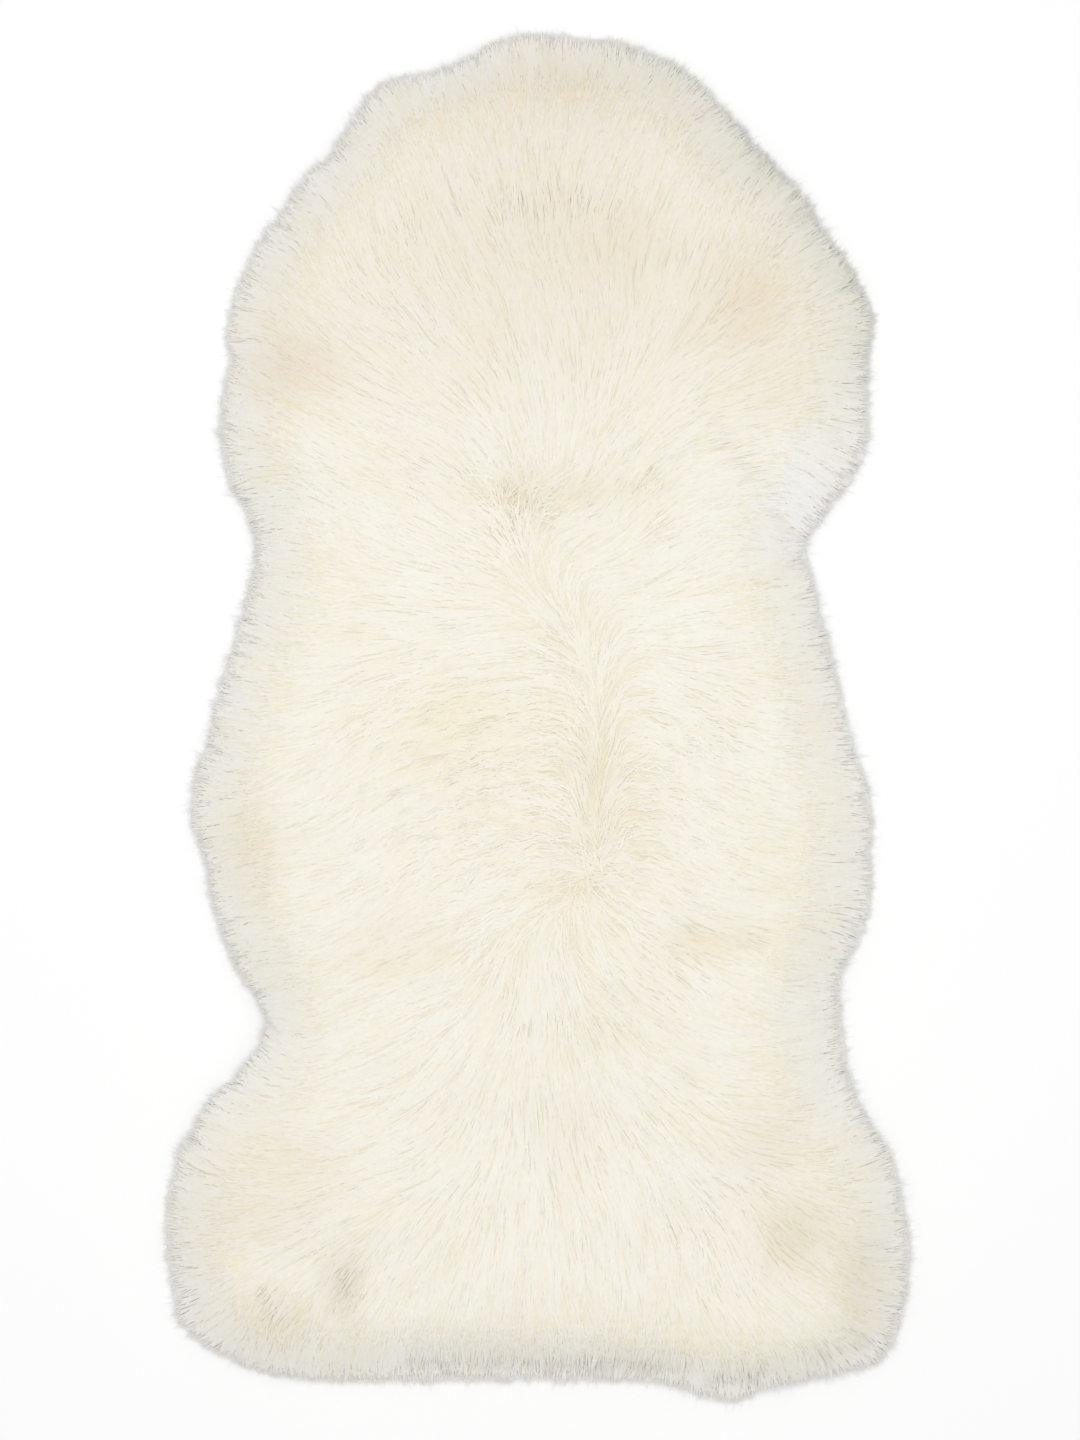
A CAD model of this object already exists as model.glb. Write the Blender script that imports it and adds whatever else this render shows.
"""Looks of a sheepskin rug that lies flat, wool up: its long combed wool, the matted wool beneath it, and
the suede side of its skin.

Metres, +Z up. +X runs across the rug and +Y along it, towards the neck end.
"""

import functools
import math
from typing import NamedTuple

import bmesh
import bpy
import numpy as np
from bpy.props import FloatProperty, FloatVectorProperty, IntProperty, PointerProperty
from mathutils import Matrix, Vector, noise
from mathutils.bvhtree import BVHTree


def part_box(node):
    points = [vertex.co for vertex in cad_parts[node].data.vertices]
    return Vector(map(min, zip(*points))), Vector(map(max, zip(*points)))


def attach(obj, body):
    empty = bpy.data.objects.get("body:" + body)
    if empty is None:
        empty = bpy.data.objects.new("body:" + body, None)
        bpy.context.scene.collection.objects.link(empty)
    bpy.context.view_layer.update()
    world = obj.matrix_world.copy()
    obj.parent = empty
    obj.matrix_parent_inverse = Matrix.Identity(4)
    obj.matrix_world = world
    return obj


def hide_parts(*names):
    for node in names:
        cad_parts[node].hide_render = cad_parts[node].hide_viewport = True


bl_info = {
    "name": "Sheepskin rug",
    "version": (1, 0, 0),
    "blender": (4, 5, 0),
    "location": "3D View > Sidebar > Sheepskin",
    "description": "Dresses a flat sheepskin rug in long combed wool on a suede skin",
    "category": "Add Mesh",
}

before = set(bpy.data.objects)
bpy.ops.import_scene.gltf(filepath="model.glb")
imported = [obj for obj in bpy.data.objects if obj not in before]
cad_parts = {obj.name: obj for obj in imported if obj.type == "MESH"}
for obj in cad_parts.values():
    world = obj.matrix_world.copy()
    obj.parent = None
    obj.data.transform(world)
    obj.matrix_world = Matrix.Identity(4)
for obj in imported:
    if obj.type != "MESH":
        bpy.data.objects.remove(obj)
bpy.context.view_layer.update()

MM = 0.001

# The solid's own sizes, which the wool follows, and how closely a height has to match one of them.
SKIN_STEP = 1.6 * MM
SKIN_TO_RIM = 26 * MM
RIM_HEIGHT = 17 * MM
RIM_TO_REACH = 25 * MM
SAME_HEIGHT = 0.05 * MM

# The photograph's frame: 1440 pixels of 0.73 mm, the rug's middle a little left of its centre and below it.
FRAME_TALL = 1440 * 0.73 * MM
CAMERA_HEIGHT = 3.0
CAMERA_OFFSET = (1.5 * MM, 0.7 * MM)
SENSOR_TALL = 24.0

# The light: a large soft one above, and an even one from all round.
SOFTBOX_PLACE = (-0.05, 0.25, 2.6)
SOFTBOX_SIZE = 3.2
SOFTBOX_WATTS = 48
SURROUND_STRENGTH = 0.55
# The floor lies a hair under the rug, so that the two don't touch.
FLOOR_DROP = 0.3 * MM

# The grid over which the pelt's form is read.
GRID_STEP = 4 * MM
GRID_MARGIN = 20 * MM

# The wool's height comes from the solid where it is further inside its rim than this. From there it falls
# to its foot. It is smoothed so many times, and more often in a zone at the rim.
SOLID_FROM = 3 * MM
RIM_FOOT = 2 * MM
SMOOTHING = 24
RIM_SMOOTHING = 6
RIM_SMOOTHING_ZONE = (5 * MM, 30 * MM)
# The room left to the wool's reach where hollows start, and where they have their full depth.
HOLLOW_ZONE = (3 * MM, 18 * MM)

# What makes the wool uneven. Columns: size of its features, seed of its noise.
REACH_NOISE = (30 * MM, 6.3)
STRAY_NOISES = ((60 * MM, 4.2), (28 * MM, 9.1))
CRIMP_NOISE = (45 * MM, 2.7)
MOTTLE_NOISES = ((38 * MM, 5.5), (17 * MM, 8.5))
# How uneven the reach is, how far the combing strays, in radians, and how many waves the crimp shifts by.
UNEVEN_REACH = 3 * MM
STRAY = 0.20
CRIMP_SHIFT = 0.8

# A strand's section: its thickness for its width, how far its shading turns round it, its corners, and the
# margin round it in the UV map.
STRAND_FLATNESS = 0.22
STRAND_ROUNDING = 0.10
STRAND_CORNERS = (90, 330, 210)
UV_MARGIN = 0.1
# Where along a strand its width is given: at the root, where it is full, as its kind says, at the tip.
PROFILE_PLACES = (0, 0.3, 0.6, 1.0)
PROFILE_ROOT = 0.3
PROFILE_TIP = 0.10
# The thinnest strand's width for that of the middling one, and how much more the thickest has.
LEAST_WIDTH = 0.7
MORE_WIDTH = 0.6

# How far strands turn off the combing and then bend, in radians, with their lock, their wisp and alone.
LOCK_STRAY = 0.30
WISP_STRAY = 0.25
OWN_STRAY = 0.15
LOCK_BEND = 0.5
WISP_BEND = 0.6
# How much more they do so where the combing is loose, and where they straggle.
LOOSE_STRAY = 0.7
STRAGGLE_STRAY = 1.8
STRAGGLE_BEND = 3
# How soon strands give way to the combing. One that meets it at a wide angle, given by its cosine, doesn't.
GIVING_WAY = 3
TURN_FROM = -0.5
TURN_FULLY = 0.3
# How little neighbouring headings agree where the combing starts to be loose, and where it is fully so.
LOOSE_ZONE = (0.03, 0.4)
MAT_LOOSE_ZONE = (0.05, 0.4)

# A strand's length for that in the settings: the least, how much more, and how much less if it straggles.
LEAST_LENGTH = 0.75
MORE_LENGTH = 0.5
STRAGGLE_SHORTER = 0.45
# How far strands reach over the rim: the longest's share of the reach, how much locks differ, the least.
REACH_SHARE = 0.95
TUFT_REACH = 6 * MM
LEAST_ROOM = 3 * MM
# The least that a first try counts as coming nearer the rim, and a strand's length for its room.
LEAST_REACHED = 1 * MM
STRETCH = (0.8, 1.7)

# How far strands are drawn to the middle of their wisp at the tip, at least and more, and how soon.
LEAST_GATHER = 0.1
MORE_GATHER = 0.35
GATHER_RISE = 0.8

# How much higher or lower wisps and single strands lie, and how far a lock falls off at its sides, where
# it is crimped and, as a share of that, where it isn't.
WISP_LIFT = 0.2 * MM
STRAND_LIFT = 0.2 * MM
LOCK_ROUND = 0.65 * MM
LEAST_LOCK_ROUND = 0.2
# How deep a root lies, how soon the strand rises from it, and how much less deep it lies in loose wool.
ROOT_DEPTH = 0.3 * MM
ROOT_RISE = 1.5
LOOSE_ROOT_LESS = 0.7
FLOOR_GAP = 0.4 * MM

# How far the shading follows the pelt's slopes, the share of that at the rim, and how far in the rim goes.
NORMAL_LEAN = 0.8
RIM_LEAN = 0.3
RIM_LEAN_WIDTH = 20 * MM

# How clean a strand is from its root to its tip, and how much more yellow a whole wisp may be.
CLEAN_PLACES = (0, 0.35, 1)
CLEAN_SHARES = (0.5, 0.95, 1)
WISP_YELLOW = 0.5
# How far towards its root a strand's stains are read, and how much strands differ in how light they are.
STAIN_PULL = 0.35
TONE_RANGE = 0.02

# The matted wool: its colour, and how far inside the wool's reach it ends.
MAT_COLOUR = "f3ebd2"
MAT_EDGE = 5 * MM
# How far under the wool's height it lies, and how much further in three kinds of place.
MAT_SUNK = 0.5 * MM
MAT_SUNK_AT_RIM = 0.6 * MM
MAT_SUNK_WHERE_LOOSE = 0.3 * MM
MAT_SUNK_WHERE_CRIMPED = 0.3 * MM
MAT_LEAST_DEPTH = 0.6 * MM
# In its rim zone it has the colour of the strands over it, a little darker.
MAT_RIM_ZONE = 60 * MM
MAT_RIM_SHADE = 0.95
# Its base is at this height, and rises to lie over the skin between these distances from the skin's edge.
MAT_FOOT = 0.5 * MM
MAT_BASE_RISE = (12 * MM, 4 * MM)
SKIN_GAP = 0.2 * MM
# Its mesh takes each so many points of the grid. Those at its edge move out onto the edge, no further than
# this, and by a slope no flatter than this.
MAT_STRIDE = 2
MAT_EDGE_SHIFT = 9 * MM
MAT_LEAST_SLOPE = 0.3
# How far its shading turns up, save where it faces further down than this.
MAT_NORMAL_RISE = 0.8
MAT_UNDERSIDE = -0.3

# How many rim strands there are, how far in their roots lie, and how low the lowest of them hang.
RIM_COUNT = 14000
RIM_ROOTS_WIDTH = 20 * MM
RIM_DROP = 0.9
FLYAWAY_COUNT = 3000
FLYAWAY_DROP = 0.5
# Loose strands are tried at so many places, so far inside the rim, and kept where the others lie in fewer
# layers than this.
PARTING_TRIES = 30000
PARTING_INSET = 20 * MM
THIN_COVER = 3.5

# The way that the wool is combed, in mm and in degrees anticlockwise from straight across to the right.
# Columns: across, along, heading.
COMB_GUIDES = (
    (-110, 440, 125), (-40, 450, 103), (10, 455, 88), (70, 445, 70), (130, 420, 56),
    (-120, 385, 116), (-60, 385, 108), (5, 390, 88), (60, 385, 63), (130, 385, 61), (175, 360, 52),
    (-165, 345, 122), (-100, 345, 112), (-40, 345, 117), (10, 345, 96), (70, 345, 72), (130, 345, 58),
    (-195, 290, 130), (-130, 295, 132), (-70, 300, 128), (0, 295, 113), (50, 300, 98), (100, 295, 70),
    (145, 295, 42), (200, 290, 24),
    (-200, 245, 150), (-140, 245, 148), (-80, 250, 142), (-30, 250, 125), (15, 255, 104), (60, 262, 72),
    (100, 250, 32), (150, 250, 24), (205, 240, 20),
    (-200, 195, 160), (-130, 200, 158), (-65, 205, 150), (-30, 195, 128), (5, 190, 106), (38, 190, 74),
    (10, 222, 100), (50, 222, 68), (75, 205, 40), (140, 200, 12), (205, 195, -4),
    (-190, 150, 168), (-120, 150, 152), (-50, 150, 150), (-15, 150, 125), (25, 150, 38), (75, 145, 42),
    (125, 150, 12), (170, 150, -10),
    (-170, 95, 160), (-100, 95, 162), (-40, 98, 166), (15, 96, 16), (85, 98, 25), (160, 95, 12),
    (-190, 55, 176), (-130, 55, 188), (-60, 55, 192), (-15, 60, 182), (30, 60, 10), (100, 62, 4),
    (180, 60, 4),
    (-200, 0, 178), (-140, 5, 202), (-90, 5, 212), (-30, 10, 192), (20, 12, 186), (50, 5, -20),
    (100, 5, -34), (150, 0, -6), (215, 0, 2),
    (-225, -60, 180), (-170, -60, 200), (-110, -50, 220), (-50, -55, 196), (5, -55, 188), (45, -60, -10),
    (100, -50, -30), (150, -60, -12), (220, -60, 1),
    (-220, -115, 182), (-150, -115, 202), (-90, -120, 216), (-35, -115, 210), (10, -110, 196),
    (50, -125, -36), (110, -115, -26), (170, -120, 0), (220, -120, -4),
    (-200, -180, 182), (-130, -185, 202), (-75, -185, 212), (-25, -185, 222), (5, -180, 284),
    (45, -180, -44), (110, -185, -28), (180, -185, -8),
    (-190, -245, 170), (-130, -245, 194), (-75, -250, 218), (-25, -245, 256), (15, -245, 275),
    (45, -250, -64), (95, -250, -28), (150, -250, 2), (210, -250, 16),
    (-235, -310, 170), (-170, -310, 179), (-115, -315, 198), (-65, -310, 222), (-25, -310, 260),
    (20, -310, -70), (65, -315, -66), (110, -310, -38), (165, -310, -8), (225, -305, 6),
    (-245, -365, 184), (-185, -365, 196), (-130, -370, 220), (-70, -370, 238), (-20, -370, 262),
    (40, -375, -78), (95, -375, -82), (140, -370, -60), (190, -370, -28), (245, -370, -8),
    (-235, -420, 212), (-170, -425, 240), (-105, -425, 250), (-45, -430, 264), (20, -430, 268),
    (80, -430, 262), (130, -425, -70), (185, -425, -42), (240, -420, -36),
    (-200, -465, 245), (-120, -470, 262), (-30, -470, 268), (60, -470, 270), (130, -470, -80),
    (200, -460, -60),
)
GUIDE_REACH = 30 * MM
# What a guide still counts for far off, so that there is a heading everywhere.
FAR_PULL = 1e-6
# How far the wool at the rim is combed straight out over it.
RIM_COMB_WIDTH = 34 * MM
RIM_COMB_SHARE = 0.7

# Where the wool is crimped into waves, in mm. Columns: across, along, reach across, reach along, strength.
CRIMPS = (
    (20, -60, 105, 85, 1.0),
    (-70, 10, 60, 40, 0.5),
    (120, 0, 40, 40, 0.5),
    (60, -170, 60, 30, 0.4),
)
# A wave's length, how far it goes sideways and up, and the least strength of crimp in the crimped pieces.
CRIMP_WAVE = 19 * MM
CRIMP_SWAY = 2.0 * MM
CRIMP_LIFT = 0.4 * MM
LEAST_CRIMP = 0.3
# How many waves locks and wisps are out of step with one another.
LOCK_OUT_OF_STEP = 0.25
WISP_OUT_OF_STEP = 0.12

# Where the wool is combed out from a parting like a fountain: across, along, in mm.
PARTING = ((-13, 132), (10, 95), (43, 45), (43, -88))
PARTING_WIDTH = 34 * MM
# The heading's angle to the parting at it, and how many degrees more that is at its width.
PARTING_ANGLE = 12
PARTING_SPREAD = 92

# Hollows that the skin and the combing leave in the wool, in mm.
# Columns: points across and along, half its width, depth.
HOLLOWS = (
    (((-50, 180), (-20, 163), (13, 149), (31, 152), (74, 178)), 15, 2.8),
    (((134, 205), (148, 186), (172, 152), (184, 143)), 11, 2.8),
    (((109, -153), (123, -164), (157, -163)), 6, 4),
    (((-18, -99), (22, -99)), 5, 1.5),
    (((62, -101), (78, -108)), 5, 1.5),
    (((-10, -222), (30, -214), (78, -220)), 13, 1.6),
    (((-137, -404), (-135, -412)), 10, 4),
    (((-199, -415), (-166, -452)), 8, 4),
    (((-20, 372), (90, 368)), 14, 2),
    (((150, 380), (166, 404)), 4, 3),
    (((176, 345), (196, 368)), 5, 4),
    (((180, 318), (204, 332)), 4, 3),
    (((205, 300), (228, 318)), 5, 4),
    (((-90, -466), (105, -468)), 6, 5),
    (((133, -476), (162, -477)), 6, 5),
    (((199, -460), (235, -452)), 6, 4),
)

# Where the wool reaches further over the rim, or less far, in mm. Columns: across, along, radius, more.
RIM_REACHES = (
    (-150, 400, 90, -5),
    (-108, 465, 25, 5),
    (-205, -20, 30, -3),
    (-70, 485, 35, -9),
    (-205, -236, 32, -13),
    (228, -235, 30, 3),
    (-235, -45, 30, -2),
    (240, 195, 50, 9),
    (228, -55, 40, 4),
    (-262, -395, 35, -5),
    (-170, -490, 50, -5),
    (240, -155, 40, 6),
    (190, -490, 50, -10),
    (-222, -498, 36, -15),
    (0, -500, 150, -4),
    (262, -366, 20, -2),
    (85, -500, 35, -6),
    (141, -505, 18, 6),
    (225, -475, 28, -4),
    (-258, -438, 24, 6),
)

# Where the wool is stained or bleached, in mm.
# Columns: across, along, reach across, reach along, colour, strength.
CLEAN_WOOL = "f2ede0"
STAINS = (
    (0, 330, 190, 110, "eae3d3", 1.0),
    (23, 455, 31, 22, "e6dcc4", 0.9),
    (15, 440, 120, 50, "e7dfd0", 0.8),
    (53, 335, 35, 25, "e9dfcb", 0.9),
    (144, 293, 34, 36, "e7dcc7", 1.0),
    (158, 238, 26, 36, "ece5d2", 0.9),
    (-166, 253, 36, 28, "e9decb", 1.0),
    (10, 160, 70, 9, "e9e0c8", 0.7),
    (-50, 0, 50, 32, "f1ead4", 1.0),
    (-20, -30, 70, 50, "f0ead8", 0.6),
    (43, -50, 14, 40, "ece5d2", 0.6),
    (-196, -87, 26, 45, "ede6d4", 0.9),
    (-196, -350, 50, 35, "ece5d4", 0.9),
    (-135, -400, 14, 24, "e2d7c8", 0.8),
    (-186, -425, 24, 16, "e8dfce", 0.8),
    (180, -364, 26, 30, "e7dec8", 1.0),
    (158, -299, 30, 30, "ece4d3", 0.9),
    (53, -222, 40, 18, "eee8d6", 0.9),
    (16, -280, 26, 26, "eee8d8", 0.8),
    (-166, -313, 36, 30, "ede6d5", 0.8),
    (-93, -160, 40, 26, "eee8d8", 0.8),
    (155, -94, 30, 40, "f0ebda", 0.8),
    (67, -72, 18, 18, "f0e9d8", 0.8),
    (228, -397, 26, 36, "e6e0ce", 0.8),
    (184, 170, 34, 40, "f5f4f0", 0.9),
    (118, -156, 34, 9, "eee4ca", 0.7),
    (20, -119, 26, 7, "efe6cf", 0.6),
    (-96, -171, 26, 9, "efe5cc", 0.6),
)
# The rim's bleached wool, its share at the wool's reach, and how far in from there it goes.
RIM_WOOL = "ebe7e3"
RIM_BLEACH = 0.9
RIM_BLEACH_WIDTH = 52 * MM
# How much lighter the wool is at its very edge, where it thins out.
EDGE_GAIN = 0.06
EDGE_GAIN_WIDTH = 16 * MM
# How much each colour channel gains where the wool is cleaner by a whole step, and loses where it isn't.
MOTTLE = np.array((0.008, 0.014, 0.035))
# Where the rim is darker, in mm. Columns: across, along, reach, colour.
RIM_SHADES = (
    (215, 310, 60, "d6d4cb"),
    (160, 390, 60, "d4d2c9"),
    (90, 450, 50, "dedbd3"),
)


class StrandKind(NamedTuple):
    """How the strands of one kind grow. The seeds are for the draws of their roots and of the strands."""

    root_seed: int
    seed: int
    # Points along a strand.
    steps: int = 4
    # Its width for the width in the settings, and how much of that it still has past its middle.
    fineness: float = 1.0
    fullness: float = 0.85
    # From 0 to 1, how much it is turned any way and shorter.
    straggle: float = 0.0
    # The less this is, the fewer strands end well before the rim.
    short: float = 0.4
    # How far the longest reach past the others.
    past: float = 0.0


COMBED = StrandKind(20, 20)
CRIMPED = StrandKind(20, 20, steps=7)
LOOSE = StrandKind(60, 61, steps=5, fineness=0.9, straggle=0.5)
HANGING = StrandKind(27, 29, fineness=0.6, fullness=1.35, short=0.25)
FLYAWAY = StrandKind(37, 39, fineness=0.35, fullness=1.35, short=0.2, past=7 * MM)
# Seeds of the draws that keep loose strands, and that say how low rim strands hang.
COVER_SEED = 62
DROP_SEED = 28

# Columns: piece, from along, to along, in mm.
WOOL_ZONES = (
    ("wool_tail", -600, -380),
    ("wool_hind", -380, -240),
    ("wool_loin", -240, -90),
    ("wool_back", -90, 80),
    ("wool_shoulders", 80, 270),
    ("wool_neck", 270, 600),
)


# --- Settings ----------------------------------------------------------------------------------------


def linear(code):
    """A hex sRGB colour as the linear RGB that Blender works in."""
    values = np.array([int(code[place : place + 2], 16) / 255 for place in (0, 2, 4)])
    return np.where(values <= 0.04045, values / 12.92, ((values + 0.055) / 1.055) ** 2.4)


def length_setting(name, description, default):
    return FloatProperty(
        name=name, description=description, default=default, min=0.0, subtype="DISTANCE", unit="LENGTH"
    )


def colour_setting(name, description, code):
    return FloatVectorProperty(
        name=name, description=description, default=linear(code), size=3, subtype="COLOR"
    )


class WoolSettings(bpy.types.PropertyGroup):
    strand_count: IntProperty(
        name="Strands",
        description="How many strands of combed wool cover the pelt",
        default=37000,
        min=1000,
        max=60000,
    )
    strand_length: length_setting("Length that shows", "Length of a strand above the matted wool", 50 * MM)
    strand_width: length_setting(
        "Strand width", "Width of a strand, which is a wisp of many fibres, at its thickest", 1.6 * MM
    )
    wisp_pitch: length_setting("Wisp spacing", "Spacing of the wisps that strands gather into", 5.5 * MM)
    lock_pitch: length_setting("Lock spacing", "Spacing of the locks that wisps lean together in", 14 * MM)
    tip_colour: colour_setting("Tips", "Colour of the combed tips", "f5f2e8")
    root_colour: colour_setting(
        "Roots", "Colour deep between the locks, where lanolin has yellowed the wool", "f3e7cb"
    )


class SkinSettings(bpy.types.PropertyGroup):
    thickness: length_setting("Thickness", "Thickness of the tanned skin", 1.5 * MM)


class StageSettings(bpy.types.PropertyGroup):
    floor_size: length_setting("Floor size", "Width of the plain floor", 9.0)


# --- Materials ---------------------------------------------------------------------------------------


def add_node(tree, kind, inputs=None, **settings):
    """Adds a shader node with its settings. An input that is a socket is linked, and any other is set."""
    node = tree.nodes.new(kind)
    for name, value in settings.items():
        setattr(node, name, value)
    for name, value in (inputs or {}).items():
        if isinstance(value, bpy.types.NodeSocket):
            tree.links.new(value, node.inputs[name])
        else:
            node.inputs[name].default_value = value
    return node


def new_material(name):
    """An empty node material and its tree."""
    material = bpy.data.materials.new(name)
    material.use_nodes = True
    material.node_tree.nodes.clear()
    return material, material.node_tree


def finish_material(tree, shader):
    output = add_node(tree, "ShaderNodeOutputMaterial")
    tree.links.new(shader.outputs[0], output.inputs["Surface"])


def wool_material(name):
    """Washed and combed sheep's wool. Its fibres scatter light softly, so it has a matt face, a faint sheen
    at a slant, and streaks of cream. Real fibres are too fine to show, so the streaks are 3 mm wide."""
    material, tree = new_material(name)
    place = add_node(tree, "ShaderNodeTexCoord").outputs["Object"]
    tint = add_node(tree, "ShaderNodeAttribute", attribute_name="tint").outputs["Color"]
    streak = add_node(
        tree,
        "ShaderNodeTexNoise",
        {"Vector": place, "Scale": 1 / (3.0 * MM), "Detail": 2.0, "Roughness": 0.6},
    ).outputs["Fac"]
    shade = add_node(
        tree,
        "ShaderNodeMapRange",
        {"Value": streak, "From Min": 0.3, "From Max": 0.7, "To Min": 0.98, "To Max": 1.015},
    ).outputs["Result"]
    colour = add_node(tree, "ShaderNodeVectorMath", {0: tint, 1: shade}, operation="MULTIPLY")
    shader = add_node(
        tree,
        "ShaderNodeBsdfPrincipled",
        {
            "Base Color": colour.outputs[0],
            "Roughness": 0.8,
            "IOR": 1.5,
            "Specular IOR Level": 0.25,
            "Sheen Weight": 0.15,
            "Sheen Roughness": 0.5,
        },
    )
    finish_material(tree, shader)
    return material


def suede_material():
    """Suede side of a tanned sheepskin: undyed, matt and faintly mottled, with a brushed nap. Real nap is
    finer than 1.2 mm, which is as fine as it still shows."""
    material, tree = new_material("tanned_suede")
    place = add_node(tree, "ShaderNodeTexCoord").outputs["Object"]
    mottle = add_node(
        tree,
        "ShaderNodeTexNoise",
        {"Vector": place, "Scale": 1 / (60 * MM), "Detail": 5.0, "Roughness": 0.6},
    ).outputs["Fac"]
    nap = add_node(
        tree,
        "ShaderNodeTexNoise",
        {"Vector": place, "Scale": 1 / (1.2 * MM), "Detail": 3.0, "Roughness": 0.7},
    ).outputs["Fac"]
    ramp = add_node(tree, "ShaderNodeValToRGB", {"Fac": mottle})
    for element, position, code in zip(ramp.color_ramp.elements, (0.3, 0.72), ("d9c6a8", "efe4d0")):
        element.position = position
        element.color = (*linear(code), 1)
    shade = add_node(
        tree,
        "ShaderNodeMapRange",
        {"Value": nap, "From Min": 0.3, "From Max": 0.7, "To Min": 0.9, "To Max": 1.04},
    ).outputs["Result"]
    colour = add_node(
        tree, "ShaderNodeVectorMath", {0: ramp.outputs["Color"], 1: shade}, operation="MULTIPLY"
    )
    bump = add_node(tree, "ShaderNodeBump", {"Height": nap, "Strength": 0.5, "Distance": 0.3 * MM})
    shader = add_node(
        tree,
        "ShaderNodeBsdfPrincipled",
        {
            "Base Color": colour.outputs[0],
            "Roughness": 0.95,
            "Specular IOR Level": 0.2,
            "Sheen Weight": 0.3,
            "Normal": bump.outputs["Normal"],
        },
    )
    finish_material(tree, shader)
    return material


def floor_material():
    """Plain white matt floor."""
    material, tree = new_material("white_floor")
    shader = add_node(
        tree,
        "ShaderNodeBsdfPrincipled",
        {"Base Color": (*linear("fdfdfd"), 1), "Roughness": 1.0, "Specular IOR Level": 0.0},
    )
    finish_material(tree, shader)
    return material


# --- Meshes and grids --------------------------------------------------------------------------------


def add_object(name, data):
    obj = bpy.data.objects.new(name, data)
    bpy.context.scene.collection.objects.link(obj)
    return obj


def add_tint(mesh, colours):
    """Gives each vertex the colour that the wool's material reads."""
    tint = mesh.attributes.new("tint", "FLOAT_COLOR", "POINT")
    tint.data.foreach_set("color", np.column_stack([colours, np.ones(len(colours))]).ravel())


def unit(vectors):
    return vectors / np.maximum(np.linalg.norm(vectors, axis=-1, keepdims=True), 1e-9)


def smooth_step(values, start, end):
    """0 up to the start, 1 from the end on, and smooth between."""
    share = np.clip((values - start) / (end - start), 0, 1)
    return share * share * (3 - 2 * share)


def distance_to_line(points, start, end):
    """How far each point is from a straight line, and the share of the line that it is nearest to."""
    run = end - start
    share = np.clip((points - start) @ run / (run @ run), 0, 1)
    return np.linalg.norm(points - start - share[..., None] * run, axis=-1), share


def inset_from(outline, points):
    """How far each point lies inside a closed outline, negative where it lies outside."""
    nearest = np.full(len(points), np.inf)
    inside = np.zeros(len(points), bool)
    x, y = points.T
    for start, end in zip(outline, np.roll(outline, -1, axis=0)):
        run = end - start
        nearest = np.minimum(nearest, distance_to_line(points, start, end)[0])
        crosses = (start[1] > y) != (end[1] > y)
        with np.errstate(divide="ignore", invalid="ignore"):
            inside ^= crosses & (x < start[0] + (y - start[1]) / run[1] * run[0])
    return np.where(inside, nearest, -nearest)


def blurred(values, times):
    """A grid of values, each averaged with its four neighbours, so many times."""
    for _ in range(times):
        padded = np.pad(values, 1, mode="edge")
        sides = padded[:-2, 1:-1] + padded[2:, 1:-1] + padded[1:-1, :-2] + padded[1:-1, 2:]
        values = (values * 2 + sides) / 6
    return values


def blurred_vectors(vectors, times):
    return np.stack([blurred(vectors[..., axis], times) for axis in range(vectors.shape[-1])], axis=-1)


def slope_of(grid):
    """How steeply a grid of values rises, across and along."""
    return np.stack(np.gradient(grid, GRID_STEP), axis=-1)


# --- The pelt's form, read from its solid ------------------------------------------------------------


def skin_outline():
    """The skin's edge as the solid has it, anticlockwise: its points are the only ones a step up."""
    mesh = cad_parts["pelt"].data
    points = np.array([vert.co for vert in mesh.vertices])
    edge = points[np.abs(points[:, 2] - SKIN_STEP) < SAME_HEIGHT]
    edge = np.unique(edge.round(6), axis=0)[:, :2]
    return edge[np.argsort(np.arctan2(edge[:, 1], edge[:, 0]))]


def solid_height(tree, x, y):
    hit = tree.ray_cast(Vector((x, y, 1.0)), Vector((0, 0, -1)))[0]
    return hit.z if hit else 0.0


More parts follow.
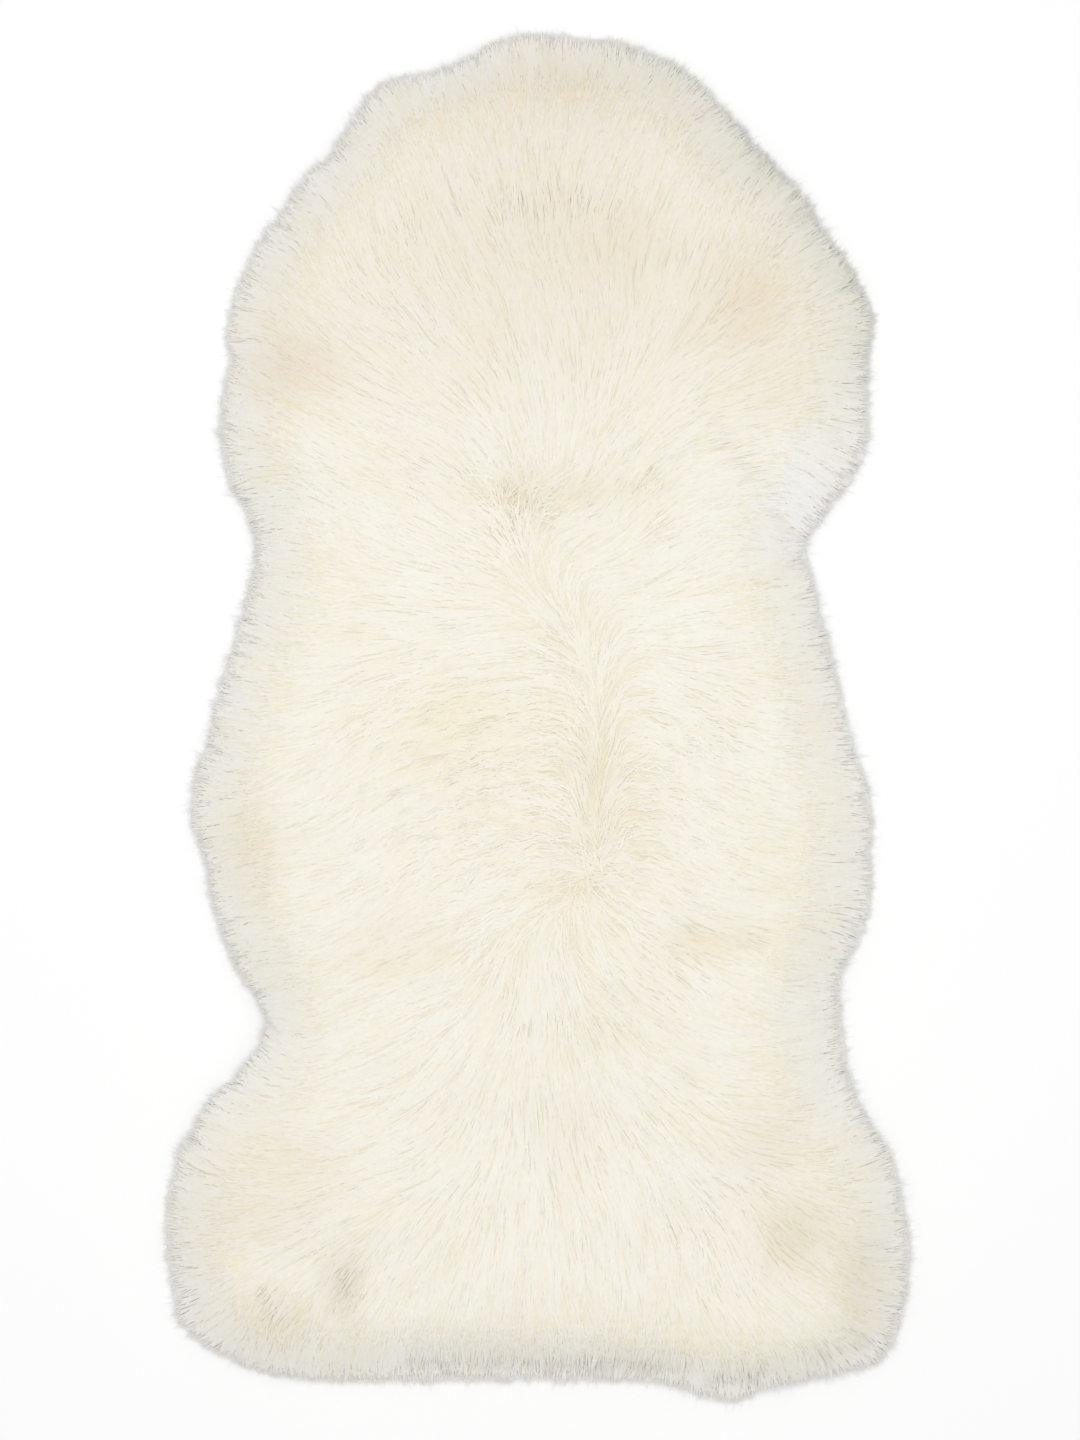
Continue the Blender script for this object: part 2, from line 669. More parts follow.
class PeltForm:
    """The pelt's height, inset and combing direction over a grid, read at any places between."""

    def __init__(self):
        low, high = (np.array(corner[:2]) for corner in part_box("pelt"))
        self.low = low - GRID_MARGIN
        count = np.ceil((high + GRID_MARGIN - self.low) / GRID_STEP).astype(int) + 1
        self.xs, self.ys = (self.low[axis] + np.arange(count[axis]) * GRID_STEP for axis in (0, 1))
        self.shape = tuple(count)
        self.high = self.low + np.array(self.shape) * GRID_STEP
        self.places = np.stack(np.meshgrid(self.xs, self.ys, indexing="ij"), axis=-1)
        self.outline = skin_outline()
        self.inset = inset_from(self.outline, self.places.reshape(-1, 2)).reshape(self.shape) + SKIN_TO_RIM
        self.room = self.inset + self.find_reach()
        self.height = self.find_height()
        self.heading = self.find_heading()
        self.normal = self.find_normal()
        self.crimp = self.find_crimp()
        self.phase = self.find_phase()
        self.mottle = sum(self.unevenness(size, seed) for size, seed in MOTTLE_NOISES)

    def unevenness(self, size, seed):
        """Smooth noise of about -1 to 1 over the grid, with features of that size."""
        return np.array(
            [[noise.noise(Vector((x / size, y / size, seed))) for y in self.ys] for x in self.xs]
        )

    def stretches(self, points):
        """Each stretch of a line through points in mm: its start, its run, how far each place is from it,
        and the share of it that the place is nearest to."""
        line = np.array(points) * MM
        for start, end in zip(line, line[1:]):
            yield start, end - start, *distance_to_line(self.places, start, end)

    def find_reach(self):
        """How far over the rim the wool reaches."""
        reach = np.full(self.shape, RIM_TO_REACH)
        for across, along, radius, more in RIM_REACHES:
            away = np.linalg.norm(self.places / MM - (across, along), axis=-1) / radius
            reach += more * MM * np.exp(-(away**2))
        return reach + UNEVEN_REACH * self.unevenness(*REACH_NOISE)

    def find_hollow(self):
        """How deep the hollows are."""
        hollow = np.zeros(self.shape)
        for points, width, depth in HOLLOWS:
            away = np.min([far for _, _, far, _ in self.stretches(points)], axis=0)
            hollow = np.maximum(hollow, depth * MM * np.exp(-((away / (width * MM)) ** 2)))
        return hollow

    def find_height(self):
        """The solid's height inside its rim, and a fall to the floor beyond it, where the locks are."""
        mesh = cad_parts["pelt"].data
        mesh.calc_loop_triangles()
        corners = [vert.co for vert in mesh.vertices]
        tree = BVHTree.FromPolygons(corners, [tri.vertices for tri in mesh.loop_triangles])
        solid = np.array([[solid_height(tree, x, y) for y in self.ys] for x in self.xs])
        fall = RIM_FOOT + RIM_HEIGHT * np.minimum(self.room / RIM_TO_REACH, 1)
        height = np.where(self.inset > SOLID_FROM, solid, np.minimum(fall, RIM_HEIGHT))
        height = blurred(height, SMOOTHING)
        rim_share = 1 - smooth_step(self.inset, *RIM_SMOOTHING_ZONE)
        height += (blurred(height, RIM_SMOOTHING) - height) * rim_share
        return height - blurred(self.find_hollow(), 2) * smooth_step(self.room, *HOLLOW_ZONE)

    def find_heading(self):
        """The unit vectors in which the wool is combed: as the guides say, and out over the rim. Finds the
        looseness too, which is how little neighbouring headings agree."""
        heading = np.zeros((*self.shape, 2))
        for across, along, angle in COMB_GUIDES:
            away = np.linalg.norm(self.places - np.array((across, along)) * MM, axis=-1) / GUIDE_REACH
            pull = np.exp(-(away**2)) + FAR_PULL / (1 + away**2)
            turn = math.radians(angle)
            heading += pull[..., None] * (math.cos(turn), math.sin(turn))
        heading = blurred_vectors(self.fountain(unit(heading)), 2)
        self.looseness = 1 - np.linalg.norm(blurred_vectors(heading, 12), axis=-1)
        rim_share = RIM_COMB_SHARE * (1 - smooth_step(self.inset, 0, RIM_COMB_WIDTH))[..., None]
        heading = heading * (1 - rim_share) - slope_of(blurred(self.inset, 6)) * rim_share
        stray = sum(STRAY * self.unevenness(size, seed) for size, seed in STRAY_NOISES)
        angle = np.arctan2(heading[..., 1], heading[..., 0]) + stray
        return np.stack([np.cos(angle), np.sin(angle)], axis=-1)

    def fountain(self, heading):
        """Turns the heading near the parting: up along it, then over and away on both sides."""
        away = np.full(self.shape, np.inf)
        side = np.zeros(self.shape)
        for start, run, far, share in self.stretches(PARTING):
            off = self.places - start - share[..., None] * run
            side = np.where(far < away, np.sign(off[..., 1] * run[0] - off[..., 0] * run[1]), side)
            away = np.minimum(away, far)
        over = smooth_step(away, 0, PARTING_WIDTH)
        turn = np.radians(90 - side * (PARTING_ANGLE + PARTING_SPREAD * over))
        share = np.exp(-((away / PARTING_WIDTH) ** 4))[..., None]
        return heading * (1 - share) + np.stack([np.cos(turn), np.sin(turn)], axis=-1) * share

    def find_normal(self):
        upward = np.ones((*self.shape, 1))
        return unit(np.concatenate([-slope_of(blurred(self.height, 3)), upward], axis=-1))

    def find_crimp(self):
        """How strongly the wool is crimped, from 0 to 1."""
        crimp = np.zeros(self.shape)
        for across, along, reach_across, reach_along, strength in CRIMPS:
            away = (self.places / MM - (across, along)) / (reach_across, reach_along)
            crimp += strength * np.exp(-(away**2).sum(axis=-1) ** 1.5)
        return np.minimum(crimp, 1)

    def find_phase(self):
        """How many waves of the crimp lie between each place and the parting."""
        far = np.abs(self.places[..., 0] - PARTING[2][0] * MM)
        return far / CRIMP_WAVE + CRIMP_SHIFT * self.unevenness(*CRIMP_NOISE)

    def at(self, grid, points):
        """A grid's values at any points, straight between the grid's own."""
        place = np.clip((points - self.low) / GRID_STEP, 0, np.array(self.shape) - 1.001)
        corner = place.astype(int)
        share = place - corner
        (i, j), (u, v) = np.moveaxis(corner, -1, 0), np.moveaxis(share, -1, 0)
        if grid.ndim == 3:
            u, v = u[..., None], v[..., None]
        low = grid[i, j] * (1 - u) + grid[i + 1, j] * u
        high = grid[i, j + 1] * (1 - u) + grid[i + 1, j + 1] * u
        return low * (1 - v) + high * v


@functools.cache
def the_form():
    """The pelt's form, worked out once."""
    return PeltForm()


# --- Matted wool -------------------------------------------------------------------------------------


def form_slab(name, form, base_height):
    """A closed slab under the wool, where there is room for it, from a little under the form's height down
    to a base that rises to lie over the skin."""
    sunk = MAT_SUNK + MAT_SUNK_AT_RIM * (1 - smooth_step(form.room, MAT_EDGE, MAT_RIM_ZONE))
    sunk = sunk + MAT_SUNK_WHERE_LOOSE * smooth_step(form.looseness, *MAT_LOOSE_ZONE)
    sunk = sunk + MAT_SUNK_WHERE_CRIMPED * form.crimp
    base_rise = [SKIN_TO_RIM - outside for outside in MAT_BASE_RISE]
    base = np.interp(form.inset, base_rise, (MAT_FOOT, base_height))
    height = np.maximum(form.height - sunk, base + MAT_LEAST_DEPTH)
    slope = slope_of(blurred(form.room, 2))
    outward = slope / np.maximum((slope**2).sum(axis=-1, keepdims=True), MAT_LEAST_SLOPE)
    shift = np.minimum(form.room - MAT_EDGE, MAT_EDGE_SHIFT)[..., None]
    taken = (slice(None, None, MAT_STRIDE),) * 2
    kept = (form.room > MAT_EDGE)[taken]
    inner = kept.copy()
    inner[1:-1, 1:-1] &= kept[:-2, 1:-1] & kept[2:, 1:-1] & kept[1:-1, :-2] & kept[1:-1, 2:]
    places = np.where(inner[..., None], form.places[taken], (form.places - outward * shift)[taken])
    height, base = form.at(height, places), base[taken]
    bm = bmesh.new()
    top, lower = {}, {}
    for key in zip(*np.nonzero(kept)):
        top[key] = bm.verts.new((*places[key], height[key]))
        lower[key] = bm.verts.new((*places[key], base[key]))
    for i, j in top:
        corners = [(i, j), (i + 1, j), (i + 1, j + 1), (i, j + 1)]
        if all(corner in top for corner in corners):
            bm.faces.new([top[corner] for corner in corners])
            bm.faces.new([lower[corner] for corner in reversed(corners)])
    below = {top[key]: lower[key] for key in top}
    for edge in [edge for edge in bm.edges if edge.is_boundary and edge.verts[0] in below]:
        here, there = edge.link_loops[0].vert, edge.link_loops[0].link_loop_next.vert
        bm.faces.new((there, here, below[here], below[there]))
    alone = [vert for vert in bm.verts if not vert.link_faces]
    bmesh.ops.delete(bm, geom=alone, context="VERTS")
    mesh = bpy.data.meshes.new(name)
    bm.to_mesh(mesh)
    bm.free()
    mesh.shade_smooth()
    normals = np.array([vert.normal for vert in mesh.vertices])
    on_top = normals[:, 2] > MAT_UNDERSIDE
    normals[on_top] = unit(normals[on_top] * (1 - MAT_NORMAL_RISE) + (0, 0, MAT_NORMAL_RISE))
    mesh.normals_split_custom_set_from_vertices(normals)
    return add_object(name, mesh)


# --- Strands of wool ---------------------------------------------------------------------------------


def scattered(form, count, seed, least_inset=0.0, most_inset=math.inf):
    """About so many points spread evenly where the inset from the rim is in that range."""
    random = np.random.default_rng(seed)
    kept = (form.inset > least_inset) & (form.inset < most_inset)
    pitch = math.sqrt(kept.sum() * GRID_STEP**2 / count)
    xs = np.arange(form.xs[0], form.xs[-1], pitch)
    ys = np.arange(form.ys[0], form.ys[-1], pitch)
    points = np.stack(np.meshgrid(xs, ys, indexing="ij"), -1).reshape(-1, 2)
    points += random.uniform(-0.5, 0.5, points.shape) * pitch
    inset = form.at(form.inset, points)
    points = points[(inset > least_inset) & (inset < most_inset)]
    return points[random.permutation(len(points))]


class Gathering:
    """Scattered centres that strands are drawn towards, each with luck of its own from 0 to 1."""

    def __init__(self, low, high, pitch, seed):
        random = np.random.default_rng(seed)
        self.pitch = pitch
        self.low = low - 2 * pitch
        count = np.ceil((high - self.low) / pitch).astype(int) + 3
        cells = np.stack(np.meshgrid(*(np.arange(n) for n in count), indexing="ij"), -1)
        self.centres = self.low + (cells + random.uniform(0.1, 0.9, (*count, 2))) * pitch
        self.luck = random.random((*count, 4))

    def nearest(self, points):
        """The nearest centre to each point, and that centre's luck."""
        cell = ((points - self.low) / self.pitch).astype(int)
        best = np.full(len(points), np.inf)
        centre, luck = np.zeros_like(points), np.zeros((len(points), 4))
        for step_x in (-1, 0, 1):
            for step_y in (-1, 0, 1):
                i, j = cell[:, 0] + step_x, cell[:, 1] + step_y
                away = np.linalg.norm(self.centres[i, j] - points, axis=1)
                closer = away < best
                best[closer] = away[closer]
                centre[closer], luck[closer] = self.centres[i, j][closer], self.luck[i, j][closer]
        return centre, luck


def combed_path(form, start, length, stray, bend, steps, across=False):
    """The way that a strand takes over the pelt from its root, seen from above. It gives way to the combing
    bit by bit. One that lies across its root keeps the heading that the wool has there."""
    heading = form.at(form.heading, start)
    if across:
        start = start - heading * length[:, None] / 2
    give = 1 - math.exp(-GIVING_WAY / (steps - 1))
    path = [start]
    for step in range(steps - 1):
        if not across:
            combed = form.at(form.heading, path[-1])
            meeting = (combed * heading).sum(axis=1)
            share = give * smooth_step(meeting, TURN_FROM, TURN_FULLY)
            heading = unit(heading + (combed - heading) * share[:, None])
        turn = stray + bend * (step / (steps - 1))
        cos, sin = np.cos(turn), np.sin(turn)
        x = heading[:, 0] * cos - heading[:, 1] * sin
        y = heading[:, 0] * sin + heading[:, 1] * cos
        path.append(path[-1] + np.stack([x, y], -1) * (length / (steps - 1))[:, None])
    return np.stack(path, axis=1)


def stained(form, points, colour):
    """A wool colour for each point, after the rug's stains and its paler rim."""
    colours = np.array(colour) * (1 + form.at(form.mottle, points)[:, None] * MOTTLE)
    clean = np.array(colour) / linear(CLEAN_WOOL)
    for across, along, reach_across, reach_along, code, strength in STAINS:
        away = (points / MM - (across, along)) / (reach_across, reach_along)
        share = strength * np.exp(-(away**2).sum(axis=1))
        colours += (linear(code) * clean - colours) * share[:, None]
    rim = np.tile(linear(RIM_WOOL), (len(points), 1))
    for across, along, reach, code in RIM_SHADES:
        away = np.linalg.norm(points / MM - (across, along), axis=1) / reach
        rim += (linear(code) - rim) * np.exp(-(away**2))[:, None]
    room = form.at(form.room, points)
    share = RIM_BLEACH * (1 - smooth_step(room, 0, RIM_BLEACH_WIDTH))
    colours += (rim * clean - colours) * share[:, None]
    gain = 1 + EDGE_GAIN * (1 - smooth_step(room, 0, EDGE_GAIN_WIDTH))
    return colours * gain[:, None]


class Strands:
    """Strands of one kind from these roots. level is how high in the pile's depth each one lies, from 0 at
    the floor to 1 on top. Arrays along a strand run from its root to its tip."""

    def __init__(self, form, roots, kind, settings, level=1.0):
        random = np.random.default_rng(kind.seed)
        wisps = Gathering(form.low, form.high, settings.wisp_pitch, kind.seed + 1)
        locks = Gathering(form.low, form.high, settings.lock_pitch, kind.seed + 2)
        self.form, self.roots, self.kind, self.settings = form, roots, kind, settings
        self.level = np.ones((len(roots), 1)) * np.reshape(level, (-1, 1))
        # A strand shares four draws from 0 to 1 with its wisp and four with its lock, and has four alone.
        self.wisp_place, self.wisp = wisps.nearest(roots)
        self.lock_place, self.lock = locks.nearest(roots)
        self.own = random.random((len(roots), 4))
        self.thickness = random.random(len(roots))[:, None]
        self.share = np.linspace(0, 1, kind.steps)
        self.loose = smooth_step(form.at(form.looseness, roots), *LOOSE_ZONE)
        self.wave = form.at(form.crimp, roots)[:, None]
        self.stray, self.bend = self.find_turns()
        self.length, path = self.find_length()
        self.path, self.ahead, self.phase = self.waved(self.gathered(path))
        self.radius = self.find_radius()

    def find_turns(self):
        """How far each strand turns off the combing, and how far it then bends."""
        wisp, lock, straggle = self.wisp, self.lock, self.kind.straggle
        stray = (lock[:, 0] - 0.5) * LOCK_STRAY + (wisp[:, 0] - 0.5) * WISP_STRAY
        more = (LOOSE_STRAY * self.loose + straggle) * (lock[:, 3] + wisp[:, 0] - 1) * STRAGGLE_STRAY
        bend = (wisp[:, 1] - 0.5) * WISP_BEND + (lock[:, 1] - 0.5) * LOCK_BEND
        return stray + more, bend + straggle * (wisp[:, 2] - 0.5) * STRAGGLE_BEND

    def combed(self, start, length, turn, across):
        return combed_path(self.form, start, length, turn, self.bend, self.kind.steps, across)

    def find_length(self):
        """Each strand's length, and its way seen from above. A first try shows how much nearer the rim a
        strand comes for its length, and its length is then fitted to the room that it has."""
        form, roots, own, kind = self.form, self.roots, self.own, self.kind
        length = self.settings.strand_length * (LEAST_LENGTH + MORE_LENGTH * own[:, 0])
        length = length * (1 - STRAGGLE_SHORTER * kind.straggle)
        room = form.at(form.room, roots) - RIM_TO_REACH * (1 - REACH_SHARE * own[:, 1] ** kind.short)
        room = room + TUFT_REACH * (self.lock[:, 2] - 0.5) + kind.past * own[:, 3] ** 2
        room = np.maximum(room, LEAST_ROOM)
        turn = self.stray + (own[:, 2] - 0.5) * OWN_STRAY
        across = kind.straggle > 0
        tried = self.combed(roots, np.minimum(length, room), turn, across)
        reached = form.at(form.room, roots) - form.at(form.room, tried[:, -1])
        stretch = np.clip(room / np.maximum(reached, LEAST_REACHED), *STRETCH)
        length = np.minimum(length, room * stretch)
        return length, self.combed(roots, length, turn, across)

    def gathered(self, path):
        """The strands' way with their tips drawn to the middle of their wisp."""
        wisp_path = self.combed(self.wisp_place, self.length, self.stray, self.kind.straggle > 0)
        gather = (LEAST_GATHER + MORE_GATHER * self.wisp[:, 2])[:, None] * self.share[None] ** GATHER_RISE
        return path + (wisp_path - path) * gather[..., None]

    def waved(self, path):
        """The strands' way with their crimp, the heading without it, and each point's place in its wave."""
        phase = self.form.at(self.form.phase, path)
        phase = phase + LOCK_OUT_OF_STEP * self.lock[:, 2:3] + WISP_OUT_OF_STEP * self.wisp[:, 2:3]
        phase = 2 * math.pi * phase
        sway = CRIMP_SWAY * self.wave * np.sin(phase) * np.minimum(self.share * 3, 1)[None]
        ahead = unit(np.gradient(path, axis=1))
        left = np.stack([-ahead[..., 1], ahead[..., 0]], axis=-1)
        return path + sway[..., None] * left, ahead, phase

    def find_radius(self):
        widths = (PROFILE_ROOT, 1.0, self.kind.fullness, PROFILE_TIP)
        profile = np.interp(self.share, PROFILE_PLACES, widths)
        full_width = self.kind.fineness * self.settings.strand_width
        return 0.5 * full_width * (LEAST_WIDTH + MORE_WIDTH * self.thickness) * profile[None]

    def find_centre(self):
        """The strands' centre lines: at the wool's height, but lower at roots and at the sides of locks."""
        share = self.share[None]
        depth = (ROOT_DEPTH * (1 - LOOSE_ROOT_LESS * self.loose))[:, None] * (1 - share) ** ROOT_RISE
        lift = (self.wisp[:, 3] - 0.5) * WISP_LIFT + (self.own[:, 3] - 0.5) * STRAND_LIFT
        high_at = self.form.at(self.form.height, self.path) - depth + lift[:, None] * share**0.5
        high_at += self.wave * CRIMP_LIFT * np.cos(self.phase) * share
        off = self.path - self.combed(self.lock_place, self.length, self.stray, False)
        off = np.abs(off[..., 0] * self.ahead[..., 1] - off[..., 1] * self.ahead[..., 0])
        off = np.minimum(off / (0.5 * self.settings.lock_pitch), 1)
        rounding = LOCK_ROUND * (LEAST_LOCK_ROUND + (1 - LEAST_LOCK_ROUND) * self.wave)
        high_at -= rounding * off**2 * self.level
        high_at = FLOOR_GAP + np.maximum(high_at - FLOOR_GAP, 0) * self.level
        high_at = np.maximum(high_at, FLOOR_GAP + self.radius)
        return np.concatenate([self.path, high_at[..., None]], axis=-1)

    def find_surface(self):
        """The wool's surface normals, which the strands are shaded by."""
        at_rim = smooth_step(self.form.at(self.form.room, self.path), 0, RIM_LEAN_WIDTH)
        lean = NORMAL_LEAN * (RIM_LEAN + (1 - RIM_LEAN) * at_rim)
        lean = np.stack([lean, lean, np.ones(lean.shape)], axis=-1)
        return unit(self.form.at(self.form.normal, self.path) * lean)

    def find_colour(self):
        """The strands' colours. A stain is read nearer a strand's root than the strand's own point."""
        settings = self.settings
        places = self.path + (self.path[:, :1] - self.path) * STAIN_PULL
        tip = stained(self.form, places.reshape(-1, 2), settings.tip_colour).reshape(*places.shape[:2], 3)
        root = tip * (np.array(settings.root_colour) / np.array(settings.tip_colour))
        clean = np.interp(self.share, CLEAN_PLACES, CLEAN_SHARES)
        clean = clean * (1 - WISP_YELLOW * self.wisp[:, 1:2] ** 3)
        tone = 1 + TONE_RANGE * (self.own[:, 2] - 0.5)
        return (root + (tip - root) * clean[..., None]) * tone[:, None, None]

    def arrays(self):
        """What strand_mesh needs: centre lines, radii, colours and surface normals."""
        return self.find_centre(), self.radius, self.find_colour(), self.find_surface()


def strand_faces(rings):
    """One strand's faces, as the corners of its quads and of its triangles. For each corner it gives too
    whether it is shaded by its own face, as on the underside, and its place in the strand's cell of the UV
    map, in rings along it and sides round it."""
    quads, by_face, cell = [], [], []
    for level in range(rings - 1):
        for corner in range(3):
            here, beside = level * 3 + corner, level * 3 + (corner + 1) % 3
            quads.append((here, beside, beside + 3, here + 3))
            by_face += [corner == 1] * 4
            cell += [(level, corner), (level, corner + 1), (level + 1, corner + 1), (level + 1, corner)]
    last, tip = rings * 3 - 3, rings * 3
    ends = [(last + corner, last + (corner + 1) % 3, tip) for corner in range(3)] + [(2, 1, 0)]
    by_face += [False] * 3 + [True] * 3 + [False] * 3 + [True] * 3
    for corner in range(3):
        cell += [(rings - 1, corner), (rings - 1, corner + 1), (rings, corner + 0.5)]
    cell += [(0, 1), (0, 0), (0.3, 0.5)]
    return np.array(quads).reshape(-1), np.array(ends).reshape(-1), by_face, np.array(cell)


def ring_points(values, tips):
    """One row for each vertex: a strand's rings, then its tip."""
    count = len(values)
    return np.concatenate([values.reshape(count, -1, 3), tips[:, None]], axis=1).reshape(-1, 3)


def strand_mesh(name, centre, radius, colour, surface):
    """One mesh of closed strands with three sides. The arrays hold, for each strand and each step along it,
    the centre, the radius, the colour and the wool's surface normal. A strand ends in a point."""
    count, steps = centre.shape[:2]
    rings = steps - 1
    ahead = unit(np.gradient(centre, axis=1))
    side = unit(np.cross(ahead, surface))
    over = np.cross(side, ahead)
    turns = np.radians(STRAND_CORNERS)
    spokes = [math.cos(turn) * side + STRAND_FLATNESS * math.sin(turn) * over for turn in turns]
    ring = np.stack([centre + radius[..., None] * spoke for spoke in spokes], axis=2)[:, :rings]
    verts = ring_points(ring, centre[:, -1])
    soft = [unit(surface * (1 - STRAND_ROUNDING) + spoke * STRAND_ROUNDING) for spoke in spokes]
    soft = ring_points(np.stack(soft, axis=2)[:, :rings], surface[:, -1])
    tints = ring_points(np.repeat(colour[:, :rings], 3, axis=1), colour[:, -1])
    quads, ends, by_face, cell = strand_faces(rings)
    starts = np.arange(count)[:, None] * (rings * 3 + 1)
    loops = np.concatenate([quads, ends])[None] + starts
    totals = np.tile([4] * (len(quads) // 4) + [3] * 4, count)
    mesh = bpy.data.meshes.new(name)
    mesh.vertices.add(len(verts))
    mesh.vertices.foreach_set("co", verts.ravel())
    mesh.loops.add(loops.size)
    mesh.loops.foreach_set("vertex_index", loops.ravel())
    mesh.polygons.add(len(totals))
    mesh.polygons.foreach_set("loop_start", np.concatenate([[0], np.cumsum(totals)[:-1]]))
    mesh.polygons.foreach_set("loop_total", totals)
    mesh.update(calc_edges=True)
    add_tint(mesh, tints)
    # Each strand has a square cell of its own in the UV map, with a margin round it.
    cells_across = math.ceil(math.sqrt(count))
    corner_in_cell = UV_MARGIN + (1 - 2 * UV_MARGIN) * cell / (rings, 3)
    cells = np.stack(np.divmod(np.arange(count), cells_across), axis=-1)
    places = (cells[:, None] + corner_in_cell[None]) / cells_across
    mesh.uv_layers.new(name="OFBake").uv.foreach_set("vector", places.ravel())
    mesh.shade_smooth()
    own = np.repeat([face.normal for face in mesh.polygons], totals, axis=0)
    mesh.normals_split_custom_set(np.where(np.tile(by_face, count)[:, None], own, soft[loops.ravel()]))
    return add_object(name, mesh)


def cover(form, paths, width):
    """How many strands lie over each place of the grid, from their centre lines."""
    share = np.linspace(0, 1, 5)[:, None, None, None]
    points = (paths[None, :, :-1] * (1 - share) + paths[None, :, 1:] * share).reshape(-1, 2)
    along = np.linalg.norm(np.diff(paths, axis=1), axis=-1) * width / GRID_STEP**2 / len(share)
    weights = np.tile(along.ravel(), len(share))
    cell = np.rint((points - form.low) / GRID_STEP).astype(int)
    total = np.zeros(form.shape)
    np.add.at(total, tuple(cell.T), weights)
    return blurred(total, 1)


def show_as_wool(obj, material_name):
    """Gives a piece its wool, lets it stand for the soft solid, and keeps it on the rug's only body."""
    material = bpy.data.materials.get(material_name) or wool_material(material_name)
    obj.data.materials.append(material)
    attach(obj, "root")
    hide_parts("pelt")


# --- Operators ---------------------------------------------------------------------------------------


class RUG_OT_combed_wool(bpy.types.Operator):
    """Covers the pelt with combed strands, in zones from the tail to the neck and a crimped one amidst"""

    bl_idname = "rug.combed_wool"
    bl_label = "Combed wool"

    def execute(self, context):
        settings = context.scene.rug_wool
        form = the_form()
        roots = scattered(form, settings.strand_count, COMBED.root_seed)
        crimped = form.at(form.crimp, roots) > LEAST_CRIMP
        along = roots[:, 1] / MM
        places = {}
        for name, start, end in WOOL_ZONES:
            places[name] = roots[(along >= start) & (along < end) & ~crimped]
        places["wool_crimped_1"] = roots[crimped][0::2]
        places["wool_crimped_2"] = roots[crimped][1::2]
        total = np.zeros(form.shape)
        for name, picked in places.items():
            kind = CRIMPED if "crimped" in name else COMBED
            strands = Strands(form, picked, kind, settings).arrays()
            show_as_wool(strand_mesh(name, *strands), "combed_wool")
            total += cover(form, strands[0][..., :2], settings.strand_width)
        roots = scattered(form, PARTING_TRIES, LOOSE.root_seed, PARTING_INSET)
        luck = np.random.default_rng(COVER_SEED).random(len(roots))
        roots = roots[form.at(total, roots) < THIN_COVER * (0.5 + 0.5 * luck)]
        strands = Strands(form, roots, LOOSE, settings).arrays()
        show_as_wool(strand_mesh("wool_parting", *strands), "combed_wool")
        return {"FINISHED"}


class RUG_OT_rim_wool(bpy.types.Operator):
    """Hangs wool from the rim down to the floor, at every level of the pile"""

    bl_idname = "rug.rim_wool"
    bl_label = "Rim wool"

    def execute(self, context):
        settings = context.scene.rug_wool
        form = the_form()
        random = np.random.default_rng(DROP_SEED)
        roots = scattered(form, RIM_COUNT, HANGING.root_seed, most_inset=RIM_ROOTS_WIDTH)
        level = 1 - RIM_DROP * random.random(len(roots)) ** 3
        strands = Strands(form, roots, HANGING, settings, level).arrays()
        for name, side in (("wool_rim_left", roots[:, 0] < 0), ("wool_rim_right", roots[:, 0] >= 0)):
            show_as_wool(strand_mesh(name, *(values[side] for values in strands)), "combed_wool")
        roots = scattered(form, FLYAWAY_COUNT, FLYAWAY.root_seed, most_inset=RIM_ROOTS_WIDTH)
        level = 1 - FLYAWAY_DROP * random.random(len(roots))
        strands = Strands(form, roots, FLYAWAY, settings, level).arrays()
        show_as_wool(strand_mesh("wool_flyaway", *strands), "combed_wool")
        return {"FINISHED"}


class RUG_OT_matted_wool(bpy.types.Operator):
    """Lays the matted wool near the skin, which shows only between the strands"""

    bl_idname = "rug.matted_wool"
    bl_label = "Matted wool"

    def execute(self, context):
        form = the_form()
        obj = form_slab("matted_wool", form, context.scene.rug_skin.thickness + SKIN_GAP)
        places = np.array([vert.co[:2] for vert in obj.data.vertices])
        colours = stained(form, places, linear(MAT_COLOUR))
        strands_over = MAT_RIM_SHADE * stained(form, places, context.scene.rug_wool.tip_colour)
        rim_share = 1 - smooth_step(form.at(form.room, places), MAT_EDGE, MAT_RIM_ZONE)
        add_tint(obj.data, colours + (strands_over - colours) * rim_share[:, None])
        show_as_wool(obj, "matted_wool")
        return {"FINISHED"}


class RUG_OT_suede(bpy.types.Operator):
    """Lays the tanned skin under the wool, suede side down"""

    bl_idname = "rug.suede"
    bl_label = "Suede skin"

    def execute(self, context):
        outline = the_form().outline
        bm = bmesh.new()
        heights = (0, context.scene.rug_skin.thickness)
        lower, upper = ([bm.verts.new((x, y, height)) for x, y in outline] for height in heights)
        bm.faces.new(reversed(lower))
        bm.faces.new(upper)
        for corner in range(len(outline)):
            bm.faces.new((lower[corner - 1], lower[corner], upper[corner], upper[corner - 1]))
        mesh = bpy.data.meshes.new("suede_skin")
        bm.to_mesh(mesh)
        bm.free()
        obj = add_object("suede_skin", mesh)
        mesh.materials.append(suede_material())
        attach(obj, "root")
        return {"FINISHED"}


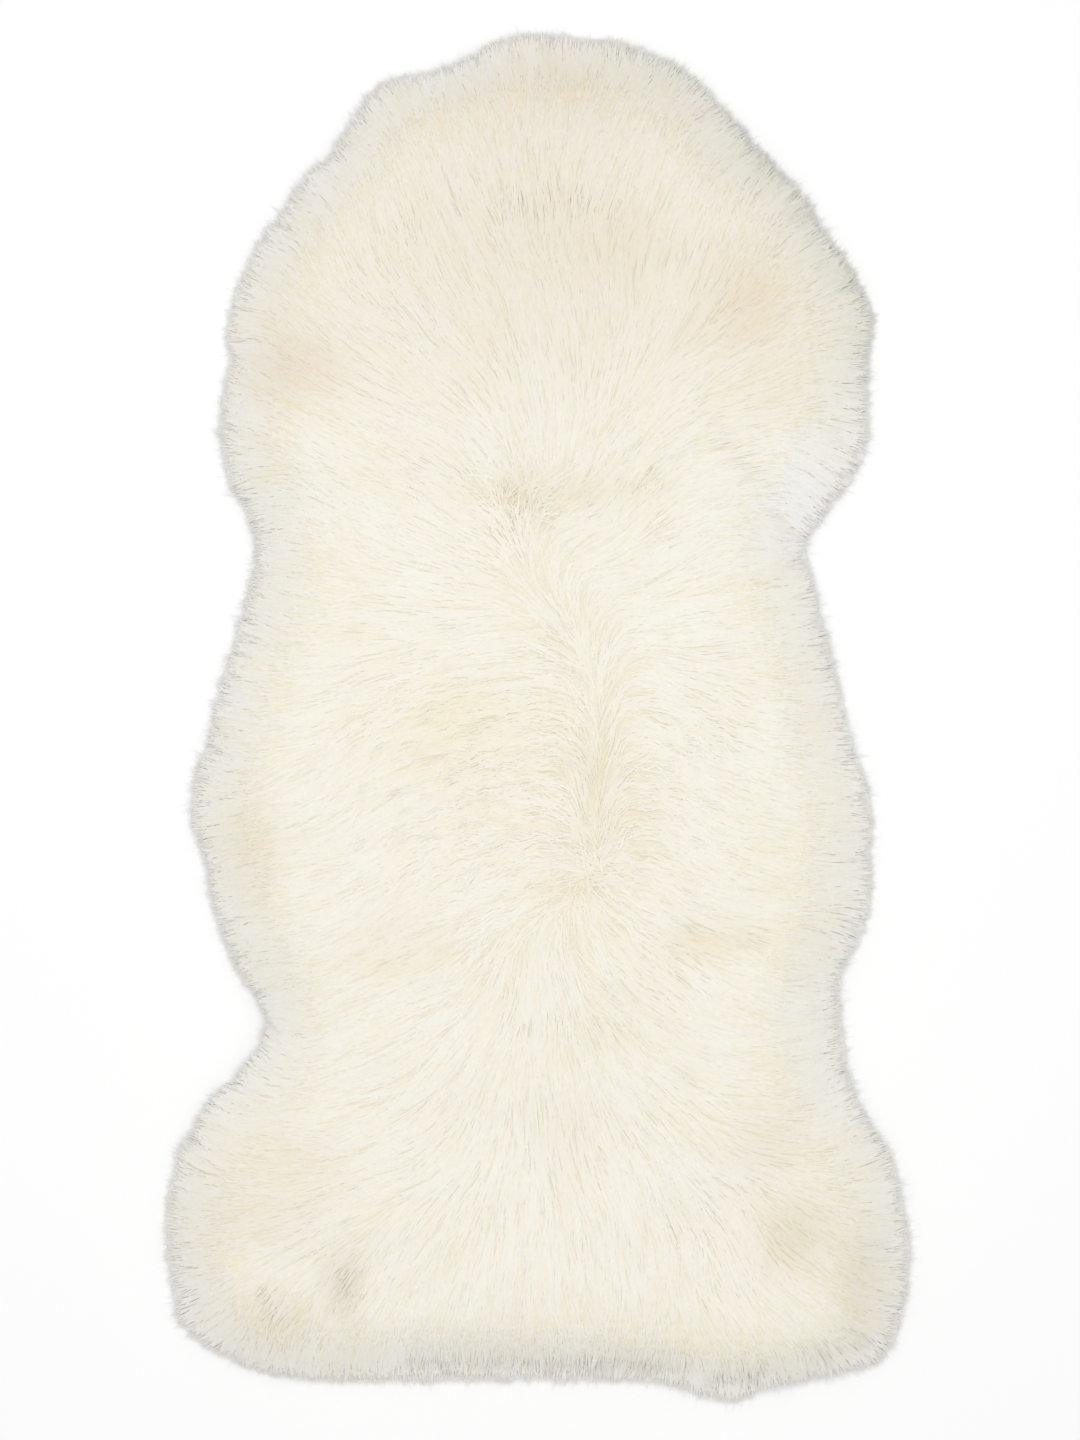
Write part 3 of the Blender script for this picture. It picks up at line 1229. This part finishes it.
class RUG_OT_stage(bpy.types.Operator):
    """Sets the white floor, the soft light and the camera straight above"""

    bl_idname = "rug.stage"
    bl_label = "Stage"

    def execute(self, context):
        scene = context.scene
        bpy.ops.object.select_all(action="DESELECT")
        bpy.ops.mesh.primitive_plane_add(size=scene.rug_stage.floor_size, location=(0, 0, -FLOOR_DROP))
        floor = context.active_object
        floor.name = "floor"
        bpy.ops.object.transform_apply(location=True, rotation=False, scale=False)
        floor.data.materials.append(floor_material())
        self.add_softbox()
        self.add_surround(scene)
        camera = add_object("camera", bpy.data.cameras.new("camera"))
        camera.location = (*CAMERA_OFFSET, CAMERA_HEIGHT)
        camera.data.sensor_fit = "VERTICAL"
        camera.data.sensor_height = SENSOR_TALL
        camera.data.lens = SENSOR_TALL * CAMERA_HEIGHT / FRAME_TALL
        scene.camera = camera
        scene.view_settings.view_transform = "Standard"
        return {"FINISHED"}

    def add_softbox(self):
        light = add_object("top_softbox", bpy.data.lights.new("top_softbox", "AREA"))
        light.location = SOFTBOX_PLACE
        light.rotation_euler = (-Vector(SOFTBOX_PLACE)).to_track_quat("-Z", "Y").to_euler()
        light.data.size = SOFTBOX_SIZE
        light.data.energy = SOFTBOX_WATTS

    def add_surround(self, scene):
        world = bpy.data.worlds.new("studio")
        world.use_nodes = True
        background = world.node_tree.nodes["Background"]
        background.inputs["Color"].default_value = (1, 1, 1, 1)
        background.inputs["Strength"].default_value = SURROUND_STRENGTH
        scene.world = world


class RUG_PT_sheepskin(bpy.types.Panel):
    """Lists the rug's pieces and their settings"""

    bl_idname = "RUG_PT_sheepskin"
    bl_label = "Sheepskin rug"
    bl_space_type = "VIEW_3D"
    bl_region_type = "UI"
    bl_category = "Sheepskin"

    def draw(self, context):
        layout = self.layout
        for group in (context.scene.rug_wool, context.scene.rug_skin, context.scene.rug_stage):
            box = layout.box()
            for name in group.__annotations__:
                box.prop(group, name)
        for operator in OPERATORS:
            layout.operator(operator.bl_idname)


SETTINGS = {"rug_wool": WoolSettings, "rug_skin": SkinSettings, "rug_stage": StageSettings}
OPERATORS = (
    RUG_OT_suede,
    RUG_OT_matted_wool,
    RUG_OT_combed_wool,
    RUG_OT_rim_wool,
    RUG_OT_stage,
)


def register():
    for name, group in SETTINGS.items():
        bpy.utils.register_class(group)
        setattr(bpy.types.Scene, name, PointerProperty(type=group))
    for operator in OPERATORS:
        bpy.utils.register_class(operator)
    bpy.utils.register_class(RUG_PT_sheepskin)


def unregister():
    bpy.utils.unregister_class(RUG_PT_sheepskin)
    for operator in reversed(OPERATORS):
        bpy.utils.unregister_class(operator)
    for name, group in SETTINGS.items():
        delattr(bpy.types.Scene, name)
        bpy.utils.unregister_class(group)


def main():
    register()
    bpy.ops.rug.suede()
    bpy.ops.rug.matted_wool()
    bpy.ops.rug.combed_wool()
    bpy.ops.rug.rim_wool()
    bpy.ops.rug.stage()


if __name__ == "__main__":
    main()
